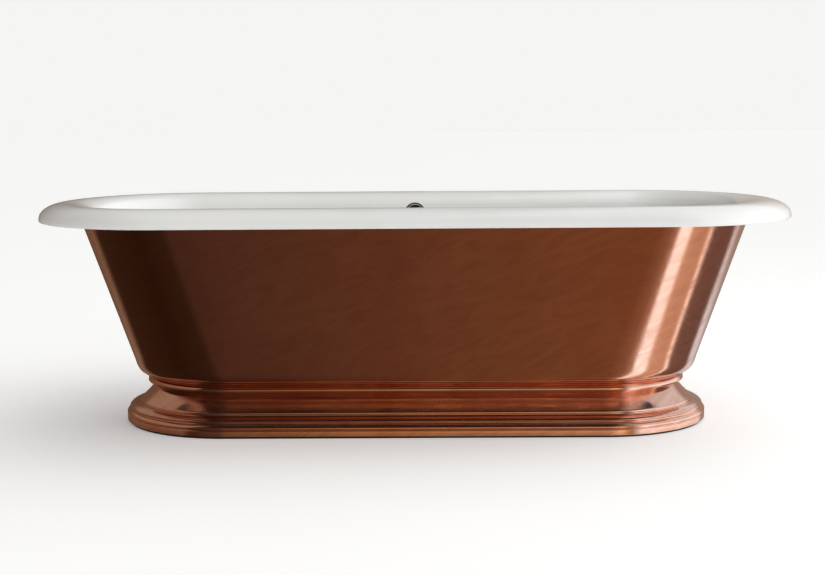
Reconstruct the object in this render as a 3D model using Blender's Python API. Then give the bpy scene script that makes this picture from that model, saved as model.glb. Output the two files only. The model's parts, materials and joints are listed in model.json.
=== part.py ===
"""Freestanding double-ended bath: cast-iron tub with a rolled rim, copper skin and copper plinth.

Metres, +Z up, +X along the tub, the front faces -Y. The floor is z = 0.
"""
import math

import bmesh
import bpy
from mathutils import Vector

# ---- driving dimensions ------------------------------------------------------------------
RIM_HALF_LENGTH = 0.915
RIM_HALF_WIDTH = 0.410
RIM_STRAIGHT = 0.570            # half-length of the straight side at the rim
HEIGHT = 0.545
IRON = 0.007                    # wall of the casting, enamel included
COPPER = 0.0015                 # skin sheet
MOULDING = 0.002                # sheet of the pressed mouldings
GAP = 0.0003                    # air between pieces that touch

ROLL_OUTER = (0.062, 0.036)     # rim roll outside its crest: width, drop
ROLL_INNER = (0.070, 0.040)     # rim roll inside its crest: width, drop
ROLL_INNER_TURN = math.radians(78)         # how far the roll turns before the wall takes over
LIP_DEPTH = 0.006               # plain edge below the roll

WALL_END_SLOPE = 0.339          # outward run of the tub's walls per unit of height
WALL_SIDE_SLOPE = 0.228
INNER_FLOOR = 0.130
CORNER_WALL_Z = 0.215           # where the inner wall starts to turn into the floor
FLOOR_HALF_LENGTH = 0.555
FLOOR_HALF_WIDTH = 0.118
BASE_STRAIGHT = 0.4475          # half-length of the straight side at the plinth

SKIN_BOTTOM = (0.696, 0.2310, 0.146)       # half-length, half-width, height of its lower corner
SKIN_HEM = (0.679, 0.2165, 0.1250)
SKIN_TOP_Z = 0.529
SKIN_END_SLOPE = 0.339          # outward run per unit of height
SKIN_SIDE_SLOPE = 0.2276

NECK = (0.6495, 0.1865)         # half-length and half-width of the narrowest ring
NECK_Z = 0.098
FASCIA_REACH = 0.0745           # how far the plinth stands out from the neck
SKIRT_BOTTOM = 0.005

WASTE_HOLE_R = 0.026
FLANGE_R = 0.035                # waste flange, outside
WASTE_SEAL = (0.0257, 0.0400, 0.0030)      # bore, outside radius, thickness
WASTE_TAIL_R = 0.020            # tail that takes the trap
STEM_R = 0.0032
OVERFLOW_HOLE_R = 0.0245
ROSE_R = 0.0275                 # overflow rose, outside
ROSE_BORE_R = 0.0215
OVERFLOW_Z = 0.4915
SPOT_FACE_R = 0.030             # flat seat milled behind the overflow hole
OUT = Vector((0.0, 1.0, -WALL_SIDE_SLOPE)).normalized()     # outward through the rear wall
PIPE_R = 0.008                  # overflow pipe, outside
PIPE_WALL = 0.0012
PIPE_STEP = 0.030               # longest straight piece of a bend
PIPE_RUN_Z = 0.1005             # height of the pipe where it runs in to the waste

BEARER_X = 0.330                # the two bearers under the floor, and the feet below them
BEARER_HALF = 0.0125
BEARER_REACH = 0.150
FOOT_Y = 0.125
PAD_THICKNESS = 0.004
FOOT_DISC = 0.008               # thickness of a foot
FOOT_R = 0.022
FOOT_NUT = (0.0095, 0.008)      # radius, height
STUD_R = 0.005
BEARER_WALL = 0.002
END_STEPS = 8                   # facets in a quarter of an end
SIDE_STEPS = 1                  # facets in half of a side


# ---- small helpers -----------------------------------------------------------------------
def clear_scene():
    """Start from nothing."""
    for item in list(bpy.data.objects):
        bpy.data.objects.remove(item, do_unlink=True)


def make_material(name, colour, roughness, metallic):
    """A Principled material for one piece."""
    material = bpy.data.materials.new(name)
    material.use_nodes = True
    shader = material.node_tree.nodes["Principled BSDF"]
    shader.inputs["Base Color"].default_value = (*colour, 1.0)
    shader.inputs["Roughness"].default_value = roughness
    shader.inputs["Metallic"].default_value = metallic
    material.diffuse_color = (*colour, 1.0)
    return material


FINISHES = {
    "enamel": ((0.80, 0.80, 0.77), 0.08, 0.0),
    "copper": ((0.62, 0.27, 0.15), 0.12, 1.0),
    "zinc_steel": ((0.50, 0.51, 0.52), 0.40, 1.0),
    "chrome": ((0.75, 0.76, 0.77), 0.08, 1.0),
    "brass": ((0.66, 0.48, 0.20), 0.30, 1.0),
    "black_rubber": ((0.02, 0.02, 0.02), 0.80, 0.0),
    "grey_plastic": ((0.06, 0.06, 0.06), 0.50, 0.0),
}


def add_object(name, bm, finish, origin=(0.0, 0.0, 0.0), parent=None):
    """Turn a bmesh into a named object with its own material and its origin at a chosen point."""
    bmesh.ops.recalc_face_normals(bm, faces=bm.faces)
    bmesh.ops.translate(bm, verts=bm.verts, vec=-Vector(origin))
    for face in bm.faces:
        face.smooth = len(face.verts) <= 4
    mesh = bpy.data.meshes.new(name)
    bm.to_mesh(mesh)
    bm.free()
    item = bpy.data.objects.new(name, mesh)
    bpy.context.collection.objects.link(item)
    mesh.materials.append(make_material(name, *FINISHES[finish]))
    item.location = origin
    if parent is not None:
        item.parent = parent
        item.location = Vector(origin) - parent.location
    return item


def combine(target, other, operation):
    """Join or subtract a second shape, which stays in the file as a hidden wire guide."""
    other.hide_render = True
    other.display_type = "WIRE"
    modifier = target.modifiers.new(other.name, "BOOLEAN")
    modifier.operation = operation
    modifier.solver = "EXACT"
    modifier.object = other


# ---- plan loops: a straight-sided plan with half-elliptical ends ---------------------------
def plan_point(turn, half_length, half_width, straight):
    """A point of the plan; turn runs 0..4 anticlockwise, one unit for each quarter."""
    quarter = int(turn) % 4
    part = turn - int(turn)
    side_share = SIDE_STEPS / (SIDE_STEPS + END_STEPS)
    along = part if quarter % 2 == 0 else 1.0 - part
    if along <= 1.0 - side_share:
        angle = 0.5 * math.pi * along / (1.0 - side_share)
        x = straight + (half_length - straight) * math.cos(angle)
        y = half_width * math.sin(angle)
    else:
        x = straight * (1.0 - along) / side_share
        y = half_width
    sign_x = 1.0 if quarter in (0, 3) else -1.0
    sign_y = 1.0 if quarter in (0, 1) else -1.0
    return sign_x * x, sign_y * y


LOOP_POINTS = 4 * (END_STEPS + SIDE_STEPS)


def full_turns():
    """The plan positions of one whole loop."""
    return [4.0 * i / LOOP_POINTS for i in range(LOOP_POINTS)]


def ring_vertices(bm, turns, level):
    """Vertices of one level, given as half-length, half-width, straight half-length and height."""
    half_length, half_width, straight, z = level
    row = []
    for turn in turns:
        x, y = plan_point(turn, half_length, half_width, straight)
        row.append(bm.verts.new((x, y, z)))
    return row


def bridge(bm, lower, upper, closed=True):
    """Join two rows of vertices with four-sided faces."""
    count = len(lower)
    last = count if closed else count - 1
    for i in range(last):
        j = (i + 1) % count
        bm.faces.new((lower[i], lower[j], upper[j], upper[i]))


def ring_from_profile(name, profile, finish):
    """A full ring whose closed section is a list of levels."""
    bm = bmesh.new()
    rows = [ring_vertices(bm, full_turns(), level) for level in profile]
    for i, row in enumerate(rows):
        bridge(bm, row, rows[(i + 1) % len(rows)])
    return add_object(name, bm, finish)


def part_ring(name, profile, finish, turns):
    """A stretch of a ring, closed at both ends by the section itself."""
    bm = bmesh.new()
    rows = [ring_vertices(bm, turns, level) for level in profile]
    for i, row in enumerate(rows):
        bridge(bm, row, rows[(i + 1) % len(rows)], closed=False)
    bm.faces.new([row[0] for row in rows])
    bm.faces.new([row[-1] for row in reversed(rows)])
    return add_object(name, bm, finish)


def thicken(points, thickness):
    """Close an open section line into a band; the new side lies to the left of the line."""
    inner = []
    for i, point in enumerate(points):
        before = points[max(i - 1, 0)]
        after = points[min(i + 1, len(points) - 1)]
        along_a = Vector((point[0] - before[0], point[1] - before[1]))
        along_b = Vector((after[0] - point[0], after[1] - point[1]))
        along_a = along_a.normalized() if along_a.length > 0 else along_b.normalized()
        along_b = along_b.normalized() if along_b.length > 0 else along_a
        normal_a = Vector((-along_a.y, along_a.x))
        normal_b = Vector((-along_b.y, along_b.x))
        middle = (normal_a + normal_b).normalized()
        reach = thickness / max(middle.dot(normal_a), 0.5)
        inner.append((point[0] + middle.x * reach, point[1] + middle.y * reach))
    return list(points) + list(reversed(inner))


def arc(centre, radii, start_deg, end_deg, steps):
    """Points of an elliptical arc in the section plane."""
    points = []
    for i in range(steps + 1):
        angle = math.radians(start_deg + (end_deg - start_deg) * i / steps)
        points.append((centre[0] + radii[0] * math.cos(angle), centre[1] + radii[1] * math.sin(angle)))
    return points


def quadratic(start, corner, end, steps):
    """Points of a curve that leaves start towards corner and arrives at end from it."""
    points = []
    for i in range(steps + 1):
        t = i / steps
        points.append(tuple((1 - t) ** 2 * s + 2 * t * (1 - t) * c + t * t * e
                            for s, c, e in zip(start, corner, end)))
    return points


def tube(bm, start, end, radius, sides=16, inner=0.0):
    """A closed cylinder or pipe between two points."""
    start = Vector(start)
    axis = Vector(end) - start
    side = axis.orthogonal().normalized()
    across = axis.normalized().cross(side)

    def ring(centre, reach):
        return [bm.verts.new(centre + reach * (math.cos(math.tau * i / sides) * side
                                               + math.sin(math.tau * i / sides) * across))
                for i in range(sides)]

    outer_a = ring(start, radius)
    outer_b = ring(start + axis, radius)
    bridge(bm, outer_a, outer_b)
    if inner > 0.0:
        inner_a = ring(start, inner)
        inner_b = ring(start + axis, inner)
        bridge(bm, inner_b, inner_a)
        bridge(bm, inner_a, outer_a)
        bridge(bm, outer_b, inner_b)
    else:
        bm.faces.new(list(reversed(outer_a)))
        bm.faces.new(outer_b)


def turned(name, profile, finish, centre, sides=24, parent=None, direction=(0.0, 0.0, 1.0)):
    """A turned piece: a closed section of radius and height, spun about an axis."""
    bm = bmesh.new()
    axis = Vector(direction).normalized()
    side = axis.orthogonal().normalized()
    across = axis.cross(side)
    rows = []
    for radius, height in profile:
        base = Vector(centre) + axis * height
        if radius < 1e-6:
            rows.append([bm.verts.new(base)])
            continue
        rows.append([bm.verts.new(base + radius * (math.cos(math.tau * i / sides) * side
                                                   + math.sin(math.tau * i / sides) * across))
                     for i in range(sides)])
    hollow = all(len(row) > 1 for row in rows)
    pairs = len(rows) if hollow else len(rows) - 1
    for i in range(pairs):
        low = rows[i]
        high = rows[(i + 1) % len(rows)]
        if len(low) == 1 or len(high) == 1:
            tip = low[0] if len(low) == 1 else high[0]
            loop = high if len(low) == 1 else low
            for j in range(sides):
                bm.faces.new((tip, loop[j], loop[(j + 1) % sides]))
        else:
            bridge(bm, low, high)
    return add_object(name, bm, finish, origin=centre, parent=parent)


def box(bm, low, high):
    """A block between two corners."""
    corners = [bm.verts.new((x, y, z)) for z in (low[2], high[2]) for x, y in
               ((low[0], low[1]), (high[0], low[1]), (high[0], high[1]), (low[0], high[1]))]
    bm.faces.new((corners[3], corners[2], corners[1], corners[0]))
    bm.faces.new(corners[4:])
    bridge(bm, corners[:4], corners[4:])


# ---- the tub -----------------------------------------------------------------------------
def straight_at(z):
    """Straight half-length of the walls, which shortens towards the base."""
    share = min(max((z - INNER_FLOOR) / (HEIGHT - INNER_FLOOR), 0.0), 1.0)
    return BASE_STRAIGHT + (RIM_STRAIGHT - BASE_STRAIGHT) * share


def roll_line():
    """The rim's upper line from the lip to the top of the inner wall: inset from the lip, height."""
    outer_w, outer_h = ROLL_OUTER
    inner_w, inner_h = ROLL_INNER
    line = [(0.0, HEIGHT - outer_h - LIP_DEPTH)]
    line += arc((outer_w, HEIGHT - outer_h), (outer_w, outer_h), 180, 90, 4)
    for i in range(1, 5):
        angle = ROLL_INNER_TURN * i / 4
        line.append((outer_w + inner_w * math.sin(angle), HEIGHT - inner_h * (1 - math.cos(angle))))
    return line


def wall_levels(offset):
    """Inner wall from the rim roll to the floor, or the outer wall when offset is the thickness."""
    top_inset, top_z = roll_line()[-1]
    top = (RIM_HALF_LENGTH - top_inset + offset * math.hypot(1, WALL_END_SLOPE),
           RIM_HALF_WIDTH - top_inset + offset * math.hypot(1, WALL_SIDE_SLOPE), top_z)

    def on_wall(z):
        drop = top_z - z
        return (top[0] - drop * WALL_END_SLOPE, top[1] - drop * WALL_SIDE_SLOPE, z)

    floor_z = INNER_FLOOR - offset
    floor_edge = (FLOOR_HALF_LENGTH, FLOOR_HALF_WIDTH, floor_z)
    levels = [on_wall(top_z - (top_z - CORNER_WALL_Z) * i / 2) for i in range(3)]
    levels += quadratic(levels[-1], on_wall(floor_z), floor_edge, 4)[1:]
    return [(a, b, straight_at(z), z) for a, b, z in levels]


def build_shell():
    """Cast-iron tub: dished floor, leaning walls and a rolled rim, enamelled inside and on the rim."""
    upper = roll_line()
    under = thicken(upper[1:-1], -IRON)[len(upper) - 2:]
    inner_walls = wall_levels(0.0)
    outer_walls = wall_levels(IRON)
    levels = list(reversed(inner_walls))[:-1]
    levels += [(RIM_HALF_LENGTH - inset, RIM_HALF_WIDTH - inset, RIM_STRAIGHT, z)
               for inset, z in reversed(upper)]
    levels += [(RIM_HALF_LENGTH - inset, RIM_HALF_WIDTH - inset, RIM_STRAIGHT, z)
               for inset, z in reversed(under) if z > upper[0][1]]
    levels += outer_walls
    bm = bmesh.new()
    rows = [ring_vertices(bm, full_turns(), level) for level in levels]
    for lower, higher in zip(rows, rows[1:]):
        bridge(bm, lower, higher)
    bm.faces.new(rows[0])
    bm.faces.new(rows[-1])
    shell = add_object("bath_shell", bm, "enamel")

    waste = bmesh.new()
    tube(waste, (0, 0, 0.10), (0, 0, 0.16), WASTE_HOLE_R, 24)
    combine(shell, add_object("waste_hole", waste, "enamel"), "DIFFERENCE")
    centre = Vector((0.0, wall_at_overflow(0.0), OVERFLOW_Z))
    overflow = bmesh.new()
    tube(overflow, centre - 0.02 * OUT, centre + 0.03 * OUT, OVERFLOW_HOLE_R, 24)
    combine(shell, add_object("overflow_hole", overflow, "enamel"), "DIFFERENCE")
    seat = bmesh.new()
    tube(seat, centre + IRON * OUT, centre + 0.03 * OUT, SPOT_FACE_R, 24)
    combine(shell, add_object("overflow_seat", seat, "enamel"), "DIFFERENCE")


# ---- copper skin -------------------------------------------------------------------------
def skin_level(z, inset=0.0):
    """Plan of the skin's face at a height, or of a surface behind it."""
    half_length = SKIN_BOTTOM[0] + (z - SKIN_BOTTOM[2]) * SKIN_END_SLOPE - inset
    half_width = SKIN_BOTTOM[1] + (z - SKIN_BOTTOM[2]) * SKIN_SIDE_SLOPE - inset
    return (half_length, half_width, straight_at(z), z)


def skin_profile(inset, thickness):
    """Closed section of a sheet that follows the skin's face at a given depth."""
    corner = (SKIN_BOTTOM[0] - 0.005, SKIN_BOTTOM[1] - 0.004, SKIN_HEM[2] + 0.001)
    outer = [skin_level(SKIN_TOP_Z - (SKIN_TOP_Z - 0.155) * i / 3, inset) for i in range(4)]
    start = outer[-1]
    turn = quadratic((start[0], start[1], start[3]), corner, SKIN_HEM, 4)[1:]
    outer += [(a - inset, b - inset, straight_at(z), z + 0.4 * inset) for a, b, z in turn]
    inner = [(a - thickness, b - thickness, c, z + (0.4 * thickness if z < 0.15 else 0.0))
             for a, b, c, z in outer]
    return outer + list(reversed(inner))


def build_skin():
    """Two copper half skins that meet at the ends, with a backing strip behind each seam."""
    seam = 0.0012                  # share of a turn left open at each seam, about 0.3 mm
    per_half = LOOP_POINTS // 2
    inner_turns = [4.0 * i / LOOP_POINTS for i in range(1, per_half)]
    rear = [seam] + inner_turns + [2.0 - seam]
    front = [turn + 2.0 for turn in rear]
    profile = skin_profile(0.0, COPPER)
    part_ring("skin_rear", profile, "copper", rear)
    part_ring("skin_front", profile, "copper", front)
    reach = 4.0 / LOOP_POINTS
    for name, middle in (("seam_strip_right", 4.0), ("seam_strip_left", 2.0)):
        strip = [skin_level(SKIN_TOP_Z - 0.03 - 0.32 * i / 2, COPPER + 2 * GAP) for i in range(3)]
        strip += [(a - COPPER, b - COPPER, c, z) for a, b, c, z in reversed(strip)]
        turns = [middle - reach, middle, middle + reach]
        part_ring(name, strip, "copper", turns)


# ---- copper mouldings ----------------------------------------------------------------------
def base_levels(section):
    """Section points of reach from the neck and height, turned into plan levels."""
    return [(NECK[0] + reach, NECK[1] + reach, BASE_STRAIGHT, z) for reach, z in section]


def build_mouldings():
    """Ovolo under the skin, the flared plinth, its base moulding and the black edge below."""
    ovolo_top = SKIN_HEM[2] - 0.0006
    ovolo = [(0.0240, ovolo_top), (0.0300, ovolo_top)]
    ovolo += [(0.0225, ovolo_top - 0.0050)]
    ovolo += arc((0.0, 0.1035), (0.0190, 0.0140), 50, -10, 3)
    ovolo += [(0.0012, NECK_Z + GAP)]
    ring_from_profile("neck_moulding", base_levels(thicken(ovolo, -MOULDING)), "copper")

    flare_foot = (0.0395, 0.0545)
    flare = [(-0.0120, NECK_Z - GAP), (0.0000, NECK_Z - GAP)]
    flare += quadratic((0.0010, NECK_Z - 0.003), (0.0165, 0.0735), flare_foot, 3)
    flare += [(0.0395, 0.0515), (0.0430, 0.0515)]
    ring_from_profile("plinth_flare", base_levels(thicken(flare, -MOULDING)), "copper")

    base_top = 0.0515 - MOULDING - GAP
    base = [(0.0340, base_top), (0.0440, base_top)]
    base += quadratic((0.0450, base_top - 0.001), (0.0600, 0.0480), (0.0655, 0.0400), 2)
    base += [(0.0655, 0.0365), (0.0625, 0.0345)]
    base += arc((0.0610, 0.0240), (0.0135, 0.0095), 80, 0, 3)
    base += [(0.0700, 0.0185), (FASCIA_REACH - 0.002, 0.0165), (FASCIA_REACH - 0.002, SKIRT_BOTTOM)]
    ring_from_profile("plinth_base_moulding", base_levels(thicken(base, -MOULDING)), "copper")

    edge_out = FASCIA_REACH - 0.0075
    edge = [(edge_out - 0.012, 0.0), (edge_out, 0.0), (edge_out, 0.0125), (edge_out - 0.012, 0.0125)]
    ring_from_profile("plinth_floor_edge", base_levels(edge), "black_rubber")


# ---- waste, plug and overflow ----------------------------------------------------------------
WASTE_FACE = INNER_FLOOR + GAP
UNDERSIDE = INNER_FLOOR - IRON


def build_waste():
    """Waste through the floor: flange, seals, body, back nut, tail and a push-down plug."""
    turned("waste_flange", [(0.0200, 0.0018), (FLANGE_R - 0.0005, 0.0018), (FLANGE_R, 0.0008),
                            (FLANGE_R, 0.0), (0.0245, 0.0), (0.0245, -0.0120), (0.0220, -0.0120),
                            (0.0190, -0.0040)],
           "chrome", (0, 0, WASTE_FACE))
    bore, outside, thickness = WASTE_SEAL
    turned("waste_seal", [(bore, 0.0), (outside, 0.0), (outside, -thickness), (bore, -thickness)],
           "black_rubber", (0, 0, UNDERSIDE - GAP))
    cup_top = UNDERSIDE - 2 * GAP - thickness
    turned("waste_body", [(0.0255, 0.0), (outside, 0.0), (outside, -0.0040), (0.0290, -0.0050),
                          (0.0290, -0.0300), (WASTE_TAIL_R, -0.0340), (WASTE_TAIL_R, -0.0480),
                          (0.0165, -0.0480), (0.0165, -0.0330), (0.0255, -0.0280)],
           "brass", (0, 0, cup_top))
    turned("waste_nut", [(0.0222, 0.0), (0.0290, 0.0), (0.0290, -0.0110), (0.0222, -0.0110)],
           "brass", (0, 0, cup_top - 0.0355), sides=8)
    guide_z = cup_top - 0.0240
    body = bmesh.new()
    tube(body, (0, 0, guide_z), (0, 0, guide_z + 0.0160), 0.0060, 16)
    guide = add_object("plug_guide", body, "brass")
    arms = bmesh.new()
    tube(arms, (-0.0252, 0, guide_z + 0.0030), (0.0252, 0, guide_z + 0.0030), 0.0018, 8)
    combine(guide, add_object("guide_arms", arms, "brass"), "UNION")
    way = bmesh.new()
    tube(way, (0, 0, guide_z - 0.01), (0, 0, guide_z + 0.03), STEM_R + GAP, 16)
    combine(guide, add_object("guide_bore", way, "brass"), "DIFFERENCE")
    inlet = bmesh.new()
    tube(inlet, (0, 0.0270, PIPE_RUN_Z), (0, 0.0440, PIPE_RUN_Z), PIPE_R + 0.0040, 20)
    waste = bpy.data.objects["waste_body"]
    combine(waste, add_object("inlet_boss", inlet, "brass"), "UNION")
    way_in = bmesh.new()
    tube(way_in, (0, 0.0200, PIPE_RUN_Z), (0, 0.0500, PIPE_RUN_Z), PIPE_R + 0.0010, 20)
    combine(waste, add_object("inlet_bore", way_in, "brass"), "DIFFERENCE")


def build_plug():
    """Push-down plug: a domed cap, its seal and its stem, which rise together to let the water out."""
    mover = bpy.data.objects.new("plug_axis", None)
    bpy.context.collection.objects.link(mover)
    mover.location = (0, 0, WASTE_FACE + 0.0022)
    base = mover.location.z
    turned("plug_cap", [(0.0, 0.0062), (0.0120, 0.0057), (0.0220, 0.0040), (0.0290, 0.0014),
                        (0.0290, 0.0), (0.0, 0.0)], "chrome", (0, 0, base), parent=mover)
    turned("plug_seal", [(STEM_R + 0.0005, -GAP), (0.0194, -GAP), (0.0190, -0.0018), (0.0160, -0.0045),
                         (STEM_R + 0.0005, -0.0045)], "black_rubber", (0, 0, base), parent=mover)
    turned("plug_stem", [(0.0, -GAP), (STEM_R, -GAP), (STEM_R, -0.0340), (0.0, -0.0340)],
           "chrome", (0, 0, base), sides=12, parent=mover)


def wall_at_overflow(offset):
    """Half-width of the tub's wall face at the height of the overflow."""
    top_inset, top_z = roll_line()[-1]
    face = RIM_HALF_WIDTH - top_inset + offset * math.hypot(1, WALL_SIDE_SLOPE)
    return face - (top_z - OVERFLOW_Z) * WALL_SIDE_SLOPE


def pipe_route(start, points):
    """A smooth curve through the route's points, read at short steps."""
    line = [Vector(start)] + [Vector((0.0, y, z)) for y, z in points]
    route = []
    for i in range(len(line) - 1):
        before = line[max(i - 1, 0)]
        a = line[i]
        b = line[i + 1]
        after = line[min(i + 2, len(line) - 1)]
        steps = max(1, round((b - a).length / PIPE_STEP))
        for j in range(steps):
            t = j / steps
            route.append(0.5 * (2 * a + (b - before) * t + (2 * before - 5 * a + 4 * b - after) * t * t
                                + (3 * a - before - 3 * b + after) * t ** 3))
    route.append(line[-1])
    return route


def bent_pipe(name, route, radius, wall, finish, sides=12):
    """A hollow pipe along a route that lies in the middle plane of the tub."""
    bm = bmesh.new()
    outer = []
    inner = []
    for i, point in enumerate(route):
        along = (route[min(i + 1, len(route) - 1)] - route[max(i - 1, 0)]).normalized()
        side = Vector((1.0, 0.0, 0.0))
        across = along.cross(side)
        for rings, reach in ((outer, radius), (inner, radius - wall)):
            rings.append([bm.verts.new(point + reach * (math.cos(math.tau * k / sides) * side
                                                        + math.sin(math.tau * k / sides) * across))
                          for k in range(sides)])
    for i in range(len(route) - 1):
        bridge(bm, outer[i], outer[i + 1])
        bridge(bm, inner[i + 1], inner[i])
    bridge(bm, inner[0], outer[0])
    bridge(bm, outer[-1], inner[-1])
    add_object(name, bm, finish)


def ring_on(name, start, end, radius, bore, sides, finish):
    """A nut: a ring with few sides, whose flats stay clear of the bore it is given."""
    bm = bmesh.new()
    tube(bm, start, end, radius, sides, inner=bore / math.cos(math.pi / sides))
    return add_object(name, bm, finish)


def build_overflow():
    """Overflow through the rear wall: rose and seals at the wall, cup and pipe down behind it."""
    inner_face = Vector((0.0, wall_at_overflow(0.0), OVERFLOW_Z))
    outer_face = inner_face + OUT * IRON
    turned("overflow_rose", [(ROSE_BORE_R + 0.0010, -0.0018), (ROSE_R - 0.0010, -0.0018),
                             (ROSE_R, -0.0008), (ROSE_R, -GAP), (OVERFLOW_HOLE_R - 0.0005, -GAP),
                             (OVERFLOW_HOLE_R - 0.0005, 0.0060), (ROSE_BORE_R, 0.0060),
                             (ROSE_BORE_R, -0.0008)],
           "chrome", inner_face, direction=OUT)
    turned("overflow_seal", [(0.0248, GAP), (0.0270, GAP), (0.0270, 0.0025), (0.0248, 0.0025)],
           "black_rubber", outer_face, direction=OUT)
    turned("overflow_cup", [(0.0, 0.0170), (0.0250, 0.0170), (0.0270, 0.0155), (0.0270, 0.0029),
                            (0.0215, 0.0029), (0.0215, 0.0148), (0.0, 0.0148)],
           "grey_plastic", outer_face, direction=OUT)
    cup = bpy.data.objects["overflow_cup"]
    spigot_top = outer_face + OUT * 0.0134
    down = Vector((0.0, -WALL_SIDE_SLOPE, -1.0)).normalized()
    neck = bmesh.new()
    tube(neck, spigot_top + down * 0.0262, spigot_top + down * 0.0460, PIPE_R + 0.0022, 16)
    combine(cup, add_object("spigot", neck, "grey_plastic"), "UNION")
    passage = bmesh.new()
    tube(passage, spigot_top + down * 0.0195, spigot_top + down * 0.0500, PIPE_R - 0.0050, 16)
    combine(cup, add_object("spigot_bore", passage, "grey_plastic"), "DIFFERENCE")

    pipe_top = spigot_top + down * 0.0466
    below = pipe_top + down * 0.0300
    route = pipe_route(pipe_top, [(below.y, below.z), (0.2628, 0.3500), (0.2262, 0.1900), (0.2030, 0.1400),
                                  (0.1650, 0.1120), (0.1230, PIPE_RUN_Z), (0.0443, PIPE_RUN_Z)])
    bent_pipe("overflow_pipe", route, PIPE_R, PIPE_WALL, "brass")
    nut_top = route[0] + (route[1] - route[0]).normalized() * 0.0010
    nut_end = nut_top + (route[1] - route[0]).normalized() * 0.0120
    ring_on("overflow_nut", nut_top, nut_end, PIPE_R + 0.0030, PIPE_R + 0.0006, 8, "grey_plastic")
    ring_on("inlet_nut", (0, 0.0448, PIPE_RUN_Z), (0, 0.0568, PIPE_RUN_Z), PIPE_R + 0.0065,
            PIPE_R + 0.0004, 8, "brass")


# ---- cradle and feet -------------------------------------------------------------------------
def build_cradle():
    """Two steel bearers under the floor on four levelling feet, with a rubber pad at each foot."""
    pad_top = UNDERSIDE - GAP
    bearer_top = pad_top - PAD_THICKNESS - GAP
    bearer_z = bearer_top - BEARER_HALF
    nut_top = bearer_z - BEARER_HALF - GAP
    nut_radius, nut_height = FOOT_NUT
    for side, x in (("left", -BEARER_X), ("right", BEARER_X)):
        bm = bmesh.new()
        tube(bm, (x, -BEARER_REACH, bearer_z), (x, BEARER_REACH, bearer_z), BEARER_HALF * math.sqrt(2), 4,
             inner=(BEARER_HALF - BEARER_WALL) * math.sqrt(2))
        bearer = add_object("bearer_" + side, bm, "zinc_steel")
        for end, y in (("front", -FOOT_Y), ("rear", FOOT_Y)):
            place = side + "_" + end
            hole = bmesh.new()
            tube(hole, (x, y, bearer_z - 0.02), (x, y, bearer_z), STUD_R + GAP, 16)
            combine(bearer, add_object("stud_hole_" + place, hole, "zinc_steel"), "DIFFERENCE")
            pad = bmesh.new()
            inward = 0.76 * y      # the flat of the floor ends before the foot
            box(pad, (x - BEARER_HALF, inward - 0.020, pad_top - PAD_THICKNESS),
                (x + BEARER_HALF, inward + 0.020, pad_top))
            add_object("bearing_pad_" + place, pad, "black_rubber")
            turned("foot_" + place, [(0.0, 0.0), (FOOT_R, 0.0), (FOOT_R, 0.0035), (0.0120, FOOT_DISC),
                                     (0.0, FOOT_DISC)], "black_rubber", (x, y, 0.0), sides=20)
            stud = bmesh.new()
            tube(stud, (x, y, FOOT_DISC + GAP), (x, y, bearer_z + 0.004), STUD_R, 12)
            add_object("foot_stud_" + place, stud, "zinc_steel")
            ring_on("foot_nut_" + place, (x, y, nut_top - nut_height), (x, y, nut_top), nut_radius,
                    STUD_R + GAP, 6, "zinc_steel")


def build_all():
    """Every piece, from the casting down to the feet."""
    clear_scene()
    build_shell()
    build_skin()
    build_mouldings()
    build_waste()
    build_plug()
    build_overflow()
    build_cradle()


build_all()
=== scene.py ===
# %% [markdown]
# # A copper-clad double-ended bath
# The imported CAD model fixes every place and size. This notebook builds the surfaces
# that are seen, one piece at a time, and gives each hidden piece a real finish.

import json
import math

import bmesh
import bpy
from mathutils import Matrix, Vector


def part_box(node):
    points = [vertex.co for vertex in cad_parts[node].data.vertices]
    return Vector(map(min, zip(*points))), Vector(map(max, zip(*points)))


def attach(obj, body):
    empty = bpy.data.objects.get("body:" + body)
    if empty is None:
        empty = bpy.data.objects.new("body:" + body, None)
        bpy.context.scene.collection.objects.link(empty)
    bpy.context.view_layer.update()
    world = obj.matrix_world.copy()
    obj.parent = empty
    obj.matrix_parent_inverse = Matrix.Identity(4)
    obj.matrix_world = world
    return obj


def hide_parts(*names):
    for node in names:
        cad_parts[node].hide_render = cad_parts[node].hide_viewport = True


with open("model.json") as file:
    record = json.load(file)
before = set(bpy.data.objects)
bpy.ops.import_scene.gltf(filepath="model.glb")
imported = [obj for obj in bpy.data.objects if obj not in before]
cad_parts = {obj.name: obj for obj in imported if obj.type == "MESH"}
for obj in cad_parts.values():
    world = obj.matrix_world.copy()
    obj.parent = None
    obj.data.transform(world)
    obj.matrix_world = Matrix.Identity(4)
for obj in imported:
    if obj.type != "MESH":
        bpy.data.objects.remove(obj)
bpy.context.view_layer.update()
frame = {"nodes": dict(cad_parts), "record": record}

# %% [markdown]
# ## Sizes that come from the frame
# The rim's box sets the length, the width, the height and the height of the floor. Further
# down, the skin and the plug are read from their own nodes. The other sizes are those that
# the solids were drawn with, so the looks sit exactly where the solids are.

# %% Read the main sizes
rim_low, rim_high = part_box("bath_shell")
HALF_LENGTH = rim_high[0]
HALF_WIDTH = rim_high[1]
HEIGHT = rim_high[2]
MM = 0.001
RIM_STRAIGHT = 570 * MM          # half of the straight run of a side, at the rim
BASE_STRAIGHT = 447.5 * MM       # the same at the base
IRON = 7 * MM                    # thickness of the casting
FLOOR_Z = rim_low[2] + IRON      # the floor that the water stands on
print("rim", [round(v, 4) for v in (HALF_LENGTH, HALF_WIDTH, HEIGHT)], "floor", round(FLOOR_Z, 4))

# %% [markdown]
# ## Plan loops
# Seen from above, every level of this bath is two straight sides joined by half-elliptical
# ends. One function gives a point of that plan, and a level is a loop of such points. A
# surface is then a stack of levels joined by quads, which is how a spun or pressed sheet
# would be drawn: a section carried round a plan.

# %% Plan loop helpers
END_STEPS = 40       # points in a quarter of an end
SIDE_STEPS = 12      # points in half of a side


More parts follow.
